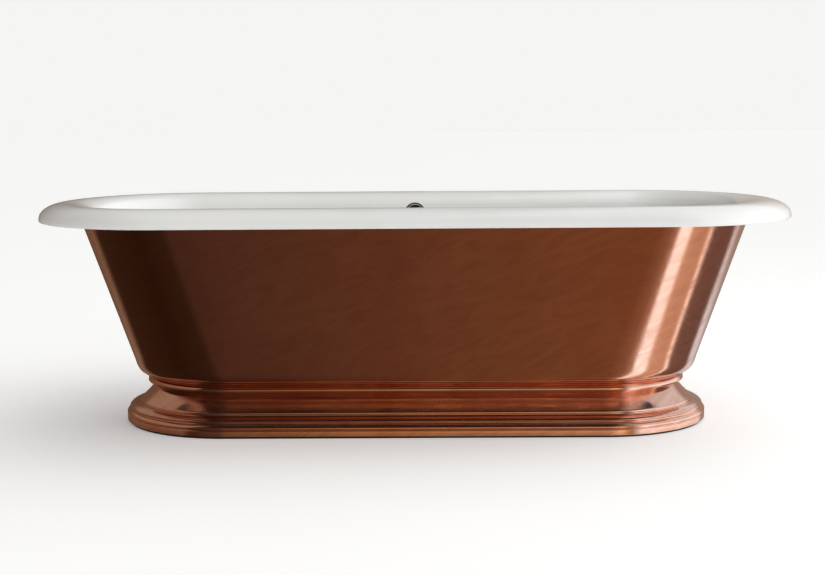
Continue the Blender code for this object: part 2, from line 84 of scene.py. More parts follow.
def plan_turns():
    """Angles and side shares of one quarter, from the end's tip to the middle of a side."""
    quarter = [("end", 0.5 * math.pi * i / END_STEPS) for i in range(END_STEPS)]
    quarter += [("side", i / SIDE_STEPS) for i in range(SIDE_STEPS)]
    return quarter


def plan_loop(half_length, half_width, straight):
    """A closed loop of plan points, anticlockwise from the +X tip."""
    first = []
    for kind, value in plan_turns():
        if kind == "end":
            first.append((straight + (half_length - straight) * math.cos(value),
                          half_width * math.sin(value)))
        else:
            first.append((straight * (1.0 - value), half_width))
    middle = (0.0, half_width)
    tip = (-half_length, 0.0)
    second = [(-x, y) for x, y in reversed(first[1:])]
    upper = first + [middle] + second + [tip]
    lower = [(-x, -y) for x, y in upper[1:-1]]
    return upper + lower


print("points in a loop:", len(plan_loop(1.0, 0.5, 0.4)))

# %% [markdown]
# ## From levels to a mesh
# A loft takes a list of levels and joins neighbours with quads. The section is closed for
# a ring, and open for the tub, whose floor and underside are single faces. Every piece
# becomes an object that rides on the body of the solid it stands for, so the two move
# together.

# %% Mesh helpers
SHARP_ANGLE = math.radians(38)       # edges that fold more than this stay crisp


def to_object(name, bm, smooth=True):
    """A new object from a bmesh, with its faces turned outward and its real edges crisp."""
    bmesh.ops.recalc_face_normals(bm, faces=bm.faces)
    mesh = bpy.data.meshes.new(name)
    for face in bm.faces:
        face.smooth = smooth
    bm.to_mesh(mesh)
    bm.free()
    mesh.set_sharp_from_angle(angle=SHARP_ANGLE)
    item = bpy.data.objects.new(name, mesh)
    bpy.context.scene.collection.objects.link(item)
    return item


def loop_row(bm, level, keep=None):
    """Vertices of one level: half-length, half-width, straight half-length, height."""
    half_length, half_width, straight, z = level
    points = plan_loop(half_length, half_width, straight)
    if keep is not None:
        points = [points[i % len(points)] for i in keep]
    return [bm.verts.new((x, y, z)) for x, y in points]


def join_rows(bm, low, high, closed=True):
    """Quads between two rows of vertices."""
    count = len(low) if closed else len(low) - 1
    for i in range(count):
        j = (i + 1) % len(low)
        bm.faces.new((low[i], low[j], high[j], high[i]))


def ring(name, section, smooth=True):
    """A closed ring carried round the plan; section is a closed list of levels."""
    bm = bmesh.new()
    rows = [loop_row(bm, level) for level in section]
    for i, row in enumerate(rows):
        join_rows(bm, row, rows[(i + 1) % len(rows)])
    return to_object(name, bm, smooth)


print("edges stay crisp above", round(math.degrees(SHARP_ANGLE)), "degrees")

# %% [markdown]
# ## Curves of a section
# A moulder draws a section from a few curves: arcs for rounds, and easy bends where one
# line runs into another. Sheet metal also needs a second line at a steady distance from
# the first, which gives the sheet its thickness.

# %% Curve helpers
LEAST_MITRE = 0.4                    # keeps an offset corner from shooting out too far


def arc(centre, radii, start, end, steps):
    """Points of an elliptical arc in the section plane; angles in degrees."""
    angles = [math.radians(start + (end - start) * i / steps) for i in range(steps + 1)]
    return [(centre[0] + radii[0] * math.cos(a), centre[1] + radii[1] * math.sin(a))
            for a in angles]


def bend(start, corner, end, steps):
    """A curve that leaves start towards corner and reaches end from it."""
    points = []
    for i in range(steps + 1):
        t = i / steps
        points.append(tuple((1 - t) ** 2 * s + 2 * t * (1 - t) * c + t * t * e
                            for s, c, e in zip(start, corner, end)))
    return points


def offset_line(points, distance):
    """The same open line, moved sideways to its left by a distance."""
    moved = []
    for i, point in enumerate(points):
        before = Vector(points[max(i - 1, 0)])
        after = Vector(points[min(i + 1, len(points) - 1)])
        here = Vector(point)
        first = here - before if i > 0 else after - here
        second = after - here if i < len(points) - 1 else first
        normals = [Vector((-v.y, v.x)).normalized() for v in (first, second)]
        middle = (normals[0] + normals[1]).normalized()
        reach = distance / max(middle.dot(normals[0]), LEAST_MITRE)
        moved.append((here.x + middle.x * reach, here.y + middle.y * reach))
    return moved


def band(points, thickness):
    """Close an open section line into a sheet of the given thickness."""
    return list(points) + list(reversed(offset_line(points, thickness)))


print("a band of 3 points closes to", len(band([(0, 0), (1, 0), (1, 1)], 0.1)), "points")

# %% [markdown]
# ## The rolled rim and the tub
# The casting is one piece: a flat floor, walls that lean out, and a broad roll that
# crowns at the top and droops to a thin lip. The roll is two elliptical arcs that meet at
# the crown, and a cubic blend carries the inner one into the straight wall with no crease.

# %% Section of the rim
ROLL_OUTER = (62 * MM, 36 * MM)      # width and height of the roll outside its crown
ROLL_INNER = (70 * MM, 40 * MM)      # the same inside it
ROLL_INNER_TURN = math.radians(78)   # how far the inner arc would turn to meet the wall
LIP = 6 * MM
LIP_ROUND = 2.6 * MM
WALL_END_SLOPE = 0.339               # how far an end wall leans in for each metre down
WALL_SIDE_SLOPE = 0.228              # the same for a side wall
WALL_TOP_INSET = ROLL_OUTER[0] + ROLL_INNER[0] * math.sin(ROLL_INNER_TURN)
WALL_TOP_Z = HEIGHT - ROLL_INNER[1] * (1 - math.cos(ROLL_INNER_TURN))
BLEND_START_DEG = 22             # where the roll's arc stops, counted up from level
BLEND_START_Z = HEIGHT - ROLL_INNER[1] * (1 - math.sin(math.radians(BLEND_START_DEG)))
BLEND_END_Z = 508 * MM           # where the blend has become the straight wall
BLEND_REACH = 0.45               # how hard the blend holds to each end's direction
BLEND_STEPS = 8


def wall_at(z, offset=0.0):
    """Inset of the end wall and the side wall from the lip at a height, and that height."""
    drop = WALL_TOP_Z - z
    return (WALL_TOP_INSET - offset * math.hypot(1, WALL_END_SLOPE) + drop * WALL_END_SLOPE,
            WALL_TOP_INSET - offset * math.hypot(1, WALL_SIDE_SLOPE) + drop * WALL_SIDE_SLOPE, z)


def rim_section():
    """Upper line of the roll from the lip to the inner wall: insets at end and side, height."""
    outer_w, outer_h = ROLL_OUTER
    inner_w, inner_h = ROLL_INNER
    lip_z = HEIGHT - outer_h - LIP
    line = arc((LIP_ROUND, lip_z + LIP_ROUND), (LIP_ROUND, LIP_ROUND), 270, 180, 4)
    line += arc((outer_w, HEIGHT - outer_h), (outer_w, outer_h), 180, 90, 22)
    line += arc((outer_w, HEIGHT - inner_h), (inner_w, inner_h), 90, BLEND_START_DEG, 16)[1:]
    upper = [(inset, inset, z) for inset, z in line]
    start = upper[-1]
    slope = (upper[-1][0] - upper[-2][0]) / (upper[-2][2] - upper[-1][2])
    end = wall_at(BLEND_END_Z)
    reach = BLEND_REACH * (start[2] - end[2])
    first = (start[0] + slope * reach, start[1] + slope * reach, start[2] - reach)
    last = wall_at(end[2] + reach)
    for i in range(1, BLEND_STEPS + 1):
        t = i / BLEND_STEPS
        weights = ((1 - t) ** 3, 3 * t * (1 - t) ** 2, 3 * t * t * (1 - t), t ** 3)
        upper.append(tuple(sum(w * v for w, v in zip(weights, values))
                           for values in zip(start, first, last, end)))
    return upper


rim_line = rim_section()
print("rim section points:", len(rim_line), "lip at", round(rim_line[0][2], 4))

# %% [markdown]
# Below the roll the walls are straight and lean in. The corner at their foot is a
# quadratic curve between the wall and the floor, because it keeps both tangents and needs
# no radius of its own. The dark underside follows the same line, one iron thickness out.

# %% Section of the walls and the floor
FLOOR_EDGE = (555 * MM, 118 * MM)    # half-length and half-width of the flat of the floor
CORNER_Z = 215 * MM                  # where the walls begin to curve into the floor


def straight_at(z):
    """Straight half-length of the walls, shorter towards the base."""
    share = min(max((z - FLOOR_Z) / (HEIGHT - FLOOR_Z), 0.0), 1.0)
    return BASE_STRAIGHT + (RIM_STRAIGHT - BASE_STRAIGHT) * share


def to_level(point):
    """A level of the plan from the insets at the end and at the side, and the height."""
    end_inset, side_inset, z = point
    return (HALF_LENGTH - end_inset, HALF_WIDTH - side_inset, straight_at(z), z)


def wall_section(offset, top_z):
    """Levels of the wall from top_z down, round the corner and along the floor to its edge."""
    floor_z = FLOOR_Z - offset
    points = [wall_at(top_z + (CORNER_Z - top_z) * i / 10, offset) for i in range(11)]
    edge = (HALF_LENGTH - FLOOR_EDGE[0], HALF_WIDTH - FLOOR_EDGE[1], floor_z)
    points += bend(points[-1], wall_at(floor_z, offset), edge, 16)[1:]
    return [to_level(point) for point in points]


def blended_straight(inset, z):
    """The roll keeps the rim's own plan, and the blend below it takes on the wall's."""
    if inset < ROLL_OUTER[0] or z > BLEND_START_Z:
        return RIM_STRAIGHT
    share = (z - BLEND_END_Z) / (BLEND_START_Z - BLEND_END_Z)
    return straight_at(z) + (RIM_STRAIGHT - straight_at(z)) * share


UNDERSIDE_TO = 118 * MM          # inset at which the roll's underside meets the outer wall
OUTER_WALL_TOP_Z = 511 * MM


def tub_levels():
    """The white levels, from the floor's edge to the lip, and the dark ones back under them."""
    inside = wall_section(0.0, BLEND_END_Z)
    roll = [(HALF_LENGTH - a, HALF_WIDTH - b, blended_straight(a, z), z) for a, b, z in rim_line]
    upper = [(a, z) for a, b, z in rim_line if a < UNDERSIDE_TO]
    under = [(a, z) for a, z in offset_line(upper, -IRON) if a > LIP]
    below = [(HALF_LENGTH - a, HALF_WIDTH - a, RIM_STRAIGHT, z) for a, z in under]
    outside = wall_section(IRON, OUTER_WALL_TOP_Z)
    return list(reversed(inside)) + list(reversed(roll))[1:], below + outside


white_levels, ground_levels = tub_levels()
print("levels seen in white:", len(white_levels), "under ground coat:", len(ground_levels))

# %% [markdown]
# ## Turning and cutting
# A round fitting is turned on a lathe, so it is drawn as one section spun about an axis.
# The same function makes the drills. A cut is a boolean with the exact solver, which
# leaves a clean edge, and the folded edges it leaves are kept crisp.

# %% Turning and cutting helpers
UP = Vector((0.0, 0.0, 1.0))


def turned(name, section, centre, axis=UP, sides=64):
    """A closed section of radius and height, spun about an axis through a centre."""
    bm = bmesh.new()
    side = axis.orthogonal().normalized()
    across = axis.cross(side)
    rows = []
    turn = [math.tau * i / sides for i in range(sides)]
    for radius, height in section:
        base = Vector(centre) + axis * height
        if radius == 0:
            rows.append([bm.verts.new(base)])
        else:
            rows.append([bm.verts.new(base + radius * (math.cos(a) * side + math.sin(a) * across))
                         for a in turn])
    open_ends = len(rows[0]) == 1 and len(rows[-1]) == 1
    for i in range(len(rows) - 1 if open_ends else len(rows)):
        low, high = rows[i], rows[(i + 1) % len(rows)]
        if len(low) > 1 and len(high) > 1:
            join_rows(bm, low, high)
        else:
            tip = low[0] if len(low) == 1 else high[0]
            loop = high if len(low) == 1 else low
            for j in range(sides):
                bm.faces.new((tip, loop[j], loop[(j + 1) % sides]))
    return to_object(name, bm)


def disc(radius, low, high):
    """Section of a plain round cutter, from one height to another."""
    return [(0, low), (radius, low), (radius, high), (0, high)]


def subtract(target, cutter):
    """Cut one mesh out of another and keep only the result."""
    change = target.modifiers.new("cut", "BOOLEAN")
    change.operation = "DIFFERENCE"
    change.solver = "EXACT"
    change.object = cutter
    solved = target.evaluated_get(bpy.context.evaluated_depsgraph_get())
    result = bpy.data.meshes.new_from_object(solved)
    result.set_sharp_from_angle(angle=SHARP_ANGLE)
    target.modifiers.clear()
    target.data = result
    bpy.data.objects.remove(cutter, do_unlink=True)


print("a cutter's section has", len(disc(1.0, 0.0, 1.0)), "points")

# %% [markdown]
# ## Building the tub
# The white levels and the hidden levels make one closed casting. Two faces close it, and
# two round holes are cut: one for the waste, one for the overflow, which also gets a flat
# seat milled behind it so that its seal can lie flat. The hidden side keeps the dark
# ground coat that is fired on before the white. The holes are cut as they would be
# drilled, so that the wall round them keeps its real thickness.

# %% Build the tub
WASTE_HOLE_R = 26 * MM
OVERFLOW_HOLE_R = 24.5 * MM
OVERFLOW_Z = 491.5 * MM
SPOT_FACE_R = 30 * MM            # the flat seat behind the overflow
DRILL_DEEP = 30 * MM             # how far the waste's drill reaches up and down
DRILL_WALL = 20 * MM             # and the overflow's drill, in and out
OUT = Vector((0.0, 1.0, -WALL_SIDE_SLOPE)).normalized()      # out through the rear wall
overflow_face = Vector((0.0, HALF_WIDTH - wall_at(OVERFLOW_Z)[1], OVERFLOW_Z))


def build_tub():
    """The closed casting with its holes: slot 0 is where it is white, slot 1 the ground coat."""
    bm = bmesh.new()
    white = [loop_row(bm, level) for level in white_levels]
    ground = [loop_row(bm, level) for level in ground_levels]
    rows = white + ground
    for i in range(len(rows) - 1):
        join_rows(bm, rows[i], rows[i + 1])
    hidden_from = (len(white) - 1) * len(rows[0])
    bm.faces.ensure_lookup_table()
    for face in bm.faces[hidden_from:]:
        face.material_index = 1
    bm.faces.new(rows[0])
    base = bm.faces.new(rows[-1])
    base.material_index = 1
    tub = to_object("tub_enamelled", bm)
    blank = bpy.data.materials.new("to_be_finished")     # the cuts need both slots to exist
    tub.data.materials.append(blank)
    tub.data.materials.append(blank)
    subtract(tub, turned("waste_drill", disc(WASTE_HOLE_R, -DRILL_DEEP, DRILL_DEEP), (0, 0, FLOOR_Z)))
    subtract(tub, turned("wall_drill", disc(OVERFLOW_HOLE_R, -DRILL_WALL, DRILL_WALL), overflow_face, OUT))
    subtract(tub, turned("seat_mill", disc(SPOT_FACE_R, IRON, DRILL_DEEP), overflow_face, OUT))
    return tub


tub = build_tub()
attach(tub, "bath")
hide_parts("bath_shell")
print("tub faces:", len(tub.data.polygons))

# %% [markdown]
# ## The copper skin
# The skin is two sheets, front and rear, wrapped round the casting and seamed at the
# tips. Each sheet is straight from top to bottom and rolls under at its lower corner.
# It has a real thickness, so its upper edge and its seams show as thin lines.

# %% Build the skin
COPPER = 1.5 * MM                # thickness of the sheet
skin_low, skin_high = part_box("skin_front")
SKIN_TOP_Z = skin_high[2]
HEM_Z = skin_low[2]
SKIN_CORNER = (696 * MM, 231 * MM, 146 * MM)     # half-length, half-width and height
SKIN_SIDE_SLOPE = 0.2276         # a hair less than the iron wall's own
HEM = (679 * MM, 216.5 * MM, HEM_Z)              # where the rolled-under edge ends
FACE_END_Z = 157 * MM            # the straight face ends here and the hem's roll begins
HEM_CORNER_IN = (4 * MM, 3 * MM)                 # the roll's corner, inside the skin's
HEM_CORNER_UP = 1 * MM
HEM_ONLY_Z = 150 * MM            # below this the inner side is also lifted off the outer
SEAM_HALF = 0.15 * MM            # half of the slit between the two sheets


def skin_point(z):
    """A point of the straight outer face at a height: half-length, half-width, height."""
    rise = z - SKIN_CORNER[2]
    return (SKIN_CORNER[0] + rise * WALL_END_SLOPE, SKIN_CORNER[1] + rise * SKIN_SIDE_SLOPE, z)


def skin_section():
    """Closed section: down the face, round the corner to the hem, and back up inside."""
    face = [skin_point(SKIN_TOP_Z + (FACE_END_Z - SKIN_TOP_Z) * i / 18) for i in range(19)]
    corner = (SKIN_CORNER[0] - HEM_CORNER_IN[0], SKIN_CORNER[1] - HEM_CORNER_IN[1],
              HEM_Z + HEM_CORNER_UP)
    face += bend(face[-1], corner, HEM, 10)[1:]
    inner = [(a - COPPER, b - COPPER, z + (0.4 * COPPER if z < HEM_ONLY_Z else 0.0))
             for a, b, z in face]
    return [(a, b, straight_at(z), z) for a, b, z in face + list(reversed(inner))]


def half_skin(name, first):
    """One half of the skin: the loop's points from one tip to the other."""
    count = 2 * (END_STEPS + SIDE_STEPS)
    keep = list(range(first, first + count + 1))
    bm = bmesh.new()
    rows = [loop_row(bm, level, keep) for level in skin_section()]
    side = 1.0 if first == 0 else -1.0
    for row in rows:
        row[0].co.y = side * SEAM_HALF
        row[-1].co.y = side * SEAM_HALF
    for i, row in enumerate(rows):
        join_rows(bm, row, rows[(i + 1) % len(rows)], closed=False)
    bm.faces.new([row[0] for row in rows])
    bm.faces.new([row[-1] for row in reversed(rows)])
    return to_object(name, bm)


halves = (("copper_skin_rear", "skin_rear", 0),
          ("copper_skin_front", "skin_front", 2 * (END_STEPS + SIDE_STEPS)))
for skin_name, node_name, first_point in halves:
    skin = half_skin(skin_name, first_point)
    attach(skin, "bath")
    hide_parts(node_name)
    print(skin_name, len(skin.data.polygons))

# %% [markdown]
# ## The mouldings under the skin
# A small ovolo turns in to the neck, and the plinth flares out below it. The plinth's
# foot has a cap that slopes down to a quirk, a quarter-round below it, and an upright
# fascia. Each is a pressed sheet, so each is a thin band carried round the plan. Their
# lines are drawn as a pattern maker would: in millimetres out from the neck and up.

# %% Lines of the mouldings
MOULDING = 2 * MM                # thickness of the pressed sheet
GAP = 0.3 * MM                   # between pieces that touch
NECK_HALF = (649.5 * MM, 186.5 * MM)
NECK_Z = 98 * MM
FLARE_HEM_Z = 51.5 * MM
FASCIA_OUT = 72.5 * MM


def around(section):
    """Section points of reach from the neck and height, turned into plan levels."""
    return [(NECK_HALF[0] + reach, NECK_HALF[1] + reach, BASE_STRAIGHT, z) for reach, z in section]


def ovolo_line():
    """The quarter-round under the skin: its fillet, its round, and the turn in to the neck."""
    top = HEM_Z - 0.6 * MM
    line = [(24.0 * MM, top), (29.2 * MM, top), (30.0 * MM, top - 0.5 * MM), (29.6 * MM, top - 1.2 * MM)]
    line += bend((28.5 * MM, top - 2.0 * MM), (23.5 * MM, top - 5.0 * MM), (18.2 * MM, top - 6.6 * MM), 4)
    line += arc((1.0 * MM, 103.6 * MM), (18.0 * MM, 13.2 * MM), 62, -14, 14)
    line += [(8.0 * MM, NECK_Z + 1.2 * MM), (2.0 * MM, NECK_Z + GAP)]
    return line


def flare_line():
    """The hollow sweep from the neck out to the foot, with a small step at its end."""
    line = [(-12.0 * MM, NECK_Z - GAP), (-0.6 * MM, NECK_Z - GAP), (0.2 * MM, NECK_Z - 0.8 * MM)]
    line += bend((1.0 * MM, NECK_Z - 3 * MM), (16.5 * MM, 73.5 * MM), (39.3 * MM, 54.9 * MM), 18)
    line += [(39.6 * MM, 54.3 * MM), (39.6 * MM, 52.2 * MM), (40.2 * MM, 51.6 * MM),
             (43.0 * MM, FLARE_HEM_Z)]
    return line


def foot_line():
    """The foot: its sloping cap, the quirk, the quarter-round and the upright fascia."""
    top = FLARE_HEM_Z - MOULDING - GAP
    line = [(34.0 * MM, top), (44.0 * MM, top)]
    line += bend((44.8 * MM, top - 0.4 * MM), (59.5 * MM, 47.6 * MM), (65.0 * MM, 41.0 * MM), 12)
    line += arc((64.2 * MM, 39.4 * MM), (1.5 * MM, 1.6 * MM), 60, -60, 4)
    line += [(63.2 * MM, 37.0 * MM), (62.6 * MM, 35.6 * MM), (62.9 * MM, 34.4 * MM)]
    line += arc((60.0 * MM, 23.8 * MM), (13.0 * MM, 10.0 * MM), 74, -8, 14)
    line += [(71.2 * MM, 21.0 * MM), (70.4 * MM, 20.0 * MM), (70.6 * MM, 19.0 * MM)]
    line += arc((FASCIA_OUT - 1.0 * MM, 17.0 * MM), (1.0 * MM, 1.2 * MM), 90, 0, 4)
    line += [(FASCIA_OUT, 12.0 * MM), (FASCIA_OUT, 6.2 * MM)]
    line += arc((FASCIA_OUT - 1.0 * MM, 6.0 * MM), (1.0 * MM, 1.0 * MM), 0, -80, 4)
    return line


print("neck half-sizes", NECK_HALF, "fascia stands out", FASCIA_OUT)

# %% [markdown]
# Each line becomes a sheet with a real thickness, and the sheet is carried round the neck's
# plan. The three share one plan, so their gaps stay even all the way round.

# %% Build the mouldings
moulding_lines = (("ovolo_under_skin", "neck_moulding", ovolo_line()),
                  ("plinth_flare_sheet", "plinth_flare", flare_line()),
                  ("plinth_foot", "plinth_base_moulding", foot_line()))
for piece_name, node_name, line in moulding_lines:
    piece = ring(piece_name, around(band(line, -MOULDING)))
    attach(piece, "bath")
    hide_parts(node_name)
    print(piece_name, "points in its line:", len(line))

# %% [markdown]
# A black rubber edge closes the slit between the plinth and the floor, and its black is
# also a painted shadow: it stands for the dark line of shade under the plinth. Its face is
# slightly ribbed, as an extruded edge is, and its lower corner is eased. It is drawn with
# flat faces, because its ribs are too small to be rounded in any useful way.

# %% Build the rubber edge
RUBBER_OUT = 67.0 * MM           # outer face, from the neck
RUBBER_DEEP = 12 * MM
RUBBER_HIGH = 12.5 * MM
GROOVE = 0.35 * MM


def rubber_line():
    """Closed section of the edge: its foot, four grooves in its face, and its top."""
    out = RUBBER_OUT
    back = out - RUBBER_DEEP
    line = [(back, 0.0), (out - 0.6 * MM, 0.0), (out, 0.5 * MM)]
    for rib in range(4):
        z = (1.4 + 1.2 * rib) * MM
        line += [(out, z), (out - GROOVE, z + 0.3 * MM), (out - GROOVE, z + 0.6 * MM),
                 (out, z + 0.9 * MM)]
    line += [(out, RUBBER_HIGH - 0.6 * MM), (out - 0.6 * MM, RUBBER_HIGH), (back, RUBBER_HIGH)]
    return line


# the black edge is also a painted shadow: the dark line of shade under the plinth
rubber_edge_shadow_line = ring("rubber_floor_edge", around(rubber_line()), smooth=False)
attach(rubber_edge_shadow_line, "bath")
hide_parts("plinth_floor_edge")

# %% [markdown]
# ## Waste, plug and overflow
# The waste's flange is a ring with a rolled edge that sits on the floor. The flange, the
# plug's dome and the overflow's ring are turned on a lathe and then plated, so each of
# them is drawn with the same turning function.

# %% Build the waste's flange
flange_z = FLOOR_Z + GAP
flange_line = [(20.2 * MM, 1.8 * MM)]
flange_line += arc((33.2 * MM, 0.6 * MM), (1.8 * MM, 1.2 * MM), 90, 0, 5)
flange_line += [(35.0 * MM, 0.0), (24.5 * MM, 0.0), (24.5 * MM, -12 * MM), (22.0 * MM, -12 * MM)]
flange_line += bend((19.0 * MM, -4 * MM), (18.9 * MM, 1.2 * MM), (20.2 * MM, 1.8 * MM), 5)[:-1]
flange = turned("waste_flange_polished", flange_line, (0, 0, flange_z), sides=96)
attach(flange, "bath")
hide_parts("waste_flange")
print("flange sits at", round(flange_z, 4))

# %% [markdown]
# The plug is a shallow dome with a rounded rim. It rides on its own body, because it lifts
# to open the waste.

# %% Build the plug's dome
DOME_FALL = 4.0 * MM             # how far the dome drops from its middle to its edge
DOME_EDGE = 27.0                 # radius in millimetres at which it has dropped that far
cap_low, cap_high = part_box("plug_cap")
cap_rise = cap_high[2] - cap_low[2]
cap_line = [(0, cap_rise)]
cap_line += [(r * MM, cap_rise - DOME_FALL * (r / DOME_EDGE) ** 2)
             for r in (3, 6, 9, 12, 15, 18, 21, 24, 26)]
cap_line += arc((27.6 * MM, 1.2 * MM), (1.4 * MM, 1.2 * MM), 80, -80, 8)
cap_line += [(26.0 * MM, 0.0), (0, 0.0)]
cap = turned("plug_dome", cap_line, (0, 0, cap_low[2]), sides=96)
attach(cap, "plug")
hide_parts("plug_cap")
print("plug's dome from", round(cap_low[2], 4), "to", round(cap_high[2], 4))

# %% [markdown]
# The overflow is a slim open ring in the rear wall, just below the roll. Its short collar
# goes through the wall. Heights along its axis count outward, so its face is below zero.

# %% Build the overflow's ring
RING_R = 27.5 * MM
RING_BORE_R = 21.5 * MM
COLLAR_R = 24.0 * MM
COLLAR_LONG = 6.0 * MM
rose_line = arc((26.3 * MM, -1.0 * MM), (1.2 * MM, 0.8 * MM), 0, -90, 4)
rose_line += arc((23.2 * MM, -0.9 * MM), (1.7 * MM, 0.9 * MM), 270, 180, 4)
rose_line += [(RING_BORE_R, COLLAR_LONG), (COLLAR_R, COLLAR_LONG), (COLLAR_R, -GAP), (RING_R, -GAP)]
rose = turned("overflow_ring", rose_line, overflow_face, OUT, sides=96)
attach(rose, "bath")
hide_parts("overflow_rose")
print("overflow ring centre", [round(v, 4) for v in overflow_face])

# %% [markdown]
# ## Finishes
# Every finish starts from what the real surface is and how it was made. Colours are
# written as sRGB hex values and turned to linear by one function. One more function adds
# a node with its settings and its links. Patterns are sized in millimetres: a noise of
# scale 1 / size has features of about that size.

# %% Colour and node helpers
def linear(hex_colour):
    """An sRGB hex colour as linear red, green, blue and alpha."""
    values = [int(hex_colour[i:i + 2], 16) / 255 for i in (1, 3, 5)]
    return tuple(v / 12.92 if v <= 0.04045 else ((v + 0.055) / 1.055) ** 2.4
                 for v in values) + (1.0,)


def add(tree, kind, inputs=None, **settings):
    """Add a node; inputs holds values or the outputs that feed its sockets."""
    made = tree.nodes.new(kind)
    for key, value in settings.items():
        setattr(made, key, value)
    for key, value in (inputs or {}).items():
        if isinstance(value, bpy.types.NodeSocket):
            tree.links.new(value, made.inputs[key])
        else:
            made.inputs[key].default_value = value
    return made


def new_finish(name):
    """An empty material with its shader, its output and the object's own coordinates."""
    material = bpy.data.materials.new(name)
    material.use_nodes = True
    tree = material.node_tree
    tree.nodes.clear()
    shader = add(tree, "ShaderNodeBsdfPrincipled")
    add(tree, "ShaderNodeOutputMaterial", {"Surface": shader.outputs["BSDF"]})
    place = add(tree, "ShaderNodeTexCoord").outputs["Object"]
    return material, tree, shader, place


def tilted(tree, place, degrees):
    """The same coordinates, turned about the Y axis, for marks that run at a slant."""
    turn = add(tree, "ShaderNodeMapping", {"Vector": place, "Rotation": (0.0, math.radians(degrees), 0.0)})
    return turn.outputs["Vector"]


def stretched(tree, place, sizes_mm):
    """Coordinates in which a noise of scale 1 has features of the given sizes."""
    scale = tuple(1000.0 / size for size in sizes_mm)
    return add(tree, "ShaderNodeMapping", {"Vector": place, "Scale": scale}).outputs["Vector"]


print("middle grey is", [round(v, 3) for v in linear("#808080")])

# %% [markdown]
# ### Vitreous enamel
# Enamel is glass powder fused on to the iron in a furnace. It is a clean neutral white
# and glossy. Because it is dusted on hot and by hand, it has a faint orange peel of
# about 7 mm and slow swells of about 90 mm, and both bend the highlights a little. Its
# white drifts slightly over 160 mm, and specks of about 14 mm vary its gloss.

# %% Vitreous enamel
def vitreous_enamel():
    """White glass on iron: a glossy dielectric with a slightly higher index than plastic."""
    material, tree, shader, place = new_finish("vitreous_enamel_white")
    cloud = add(tree, "ShaderNodeTexNoise", {"Vector": stretched(tree, place, (160, 160, 160)),
                                             "Scale": 1.0, "Detail": 3.0})
    speck = add(tree, "ShaderNodeTexNoise", {"Vector": stretched(tree, place, (14, 14, 14)),
                                             "Scale": 1.0, "Detail": 4.0})
    tone = add(tree, "ShaderNodeValToRGB", {"Fac": cloud.outputs["Fac"]})
    tone.color_ramp.elements[0].position = 0.35
    tone.color_ramp.elements[0].color = linear("#F4F5F2")
    tone.color_ramp.elements[1].position = 0.65
    tone.color_ramp.elements[1].color = linear("#F8F8F6")
    grain = add(tree, "ShaderNodeMix", {"Factor": 0.35, "A": tone.outputs["Color"]},
                data_type="RGBA", blend_type="MULTIPLY")
    fleck = add(tree, "ShaderNodeMapRange", {"Value": speck.outputs["Fac"], "From Min": 0.3,
                                             "From Max": 0.7, "To Min": 0.97, "To Max": 1.0})
    tree.links.new(fleck.outputs["Result"], grain.inputs["B"])
    gloss = add(tree, "ShaderNodeMapRange", {"Value": speck.outputs["Fac"], "From Min": 0.3,
                                             "From Max": 0.7, "To Min": 0.05, "To Max": 0.11})
    peel = add(tree, "ShaderNodeTexNoise", {"Vector": stretched(tree, place, (7, 7, 7)),
                                            "Scale": 1.0, "Detail": 2.0})
    swell = add(tree, "ShaderNodeTexNoise", {"Vector": stretched(tree, place, (90, 90, 90)),
                                             "Scale": 1.0, "Detail": 1.0})
    slow = add(tree, "ShaderNodeBump", {"Height": swell.outputs["Fac"], "Strength": 1.0,
                                        "Distance": 0.5 * MM})
    fine = add(tree, "ShaderNodeBump", {"Height": peel.outputs["Fac"], "Strength": 1.0,
                                        "Distance": 0.02 * MM, "Normal": slow.outputs["Normal"]})
    tree.links.new(grain.outputs["Result"], shader.inputs["Base Color"])
    tree.links.new(gloss.outputs["Result"], shader.inputs["Roughness"])
    tree.links.new(fine.outputs["Normal"], shader.inputs["Normal"])
    shader.inputs["IOR"].default_value = 1.52
    return material


print("enamel white:", [round(v, 3) for v in linear("#F8F8F6")[:3]])

# %% [markdown]
# ### Ground coat
# The first coat is fired straight on to the iron, and is what makes the white hold. It is
# nearly black, because of the metal oxides in it, and dull with pebbles of about 6 mm. It
# is left bare where nobody looks, so the underside of the tub wears it.

# %% Ground coat
def ground_coat():
    """The dark first coat under the white, dull and pebbly."""
    material, tree, shader, place = new_finish("ground_coat_black")
    pebble = add(tree, "ShaderNodeTexNoise", {"Vector": stretched(tree, place, (6, 6, 6)),
                                              "Scale": 1.0, "Detail": 4.0})
    tone = add(tree, "ShaderNodeValToRGB", {"Fac": pebble.outputs["Fac"]})
    tone.color_ramp.elements[0].color = linear("#1B1D20")
    tone.color_ramp.elements[1].color = linear("#34373A")
    bump = add(tree, "ShaderNodeBump", {"Height": pebble.outputs["Fac"], "Strength": 0.6,
                                        "Distance": 0.3 * MM})
    tree.links.new(tone.outputs["Color"], shader.inputs["Base Color"])
    tree.links.new(bump.outputs["Normal"], shader.inputs["Normal"])
    shader.inputs["Roughness"].default_value = 0.45
    return material


tub.data.materials[0] = vitreous_enamel()
tub.data.materials[1] = ground_coat()
print("tub finishes:", [m.name for m in tub.data.materials])

# %% [markdown]
# ### Polished copper: its colour
# Copper reflects red light far better than blue, so its metal colour carries the whole
# look, and everything around it shows tinted. The bare metal drifts in tone over patches
# of 230 by 420 mm. Wiping leaves a faint brownish film in slanting marks about 120 mm long
# and 34 mm wide. A few long bright scratches cross it the other way: they are really hair
# fine, but are drawn 1.8 mm wide so that they show. A slight brown darkening is painted
# below the rim and at the hem. It is painted shade, where the roll overhangs the sheet and
# where the sheet turns under.

# %% Colour of polished copper
PAINTED_SHADE_TOP = 30 * MM            # how far the painted shade spreads down from the upper edge
PAINTED_SHADE_FOOT = 22 * MM           # and up from the lower one


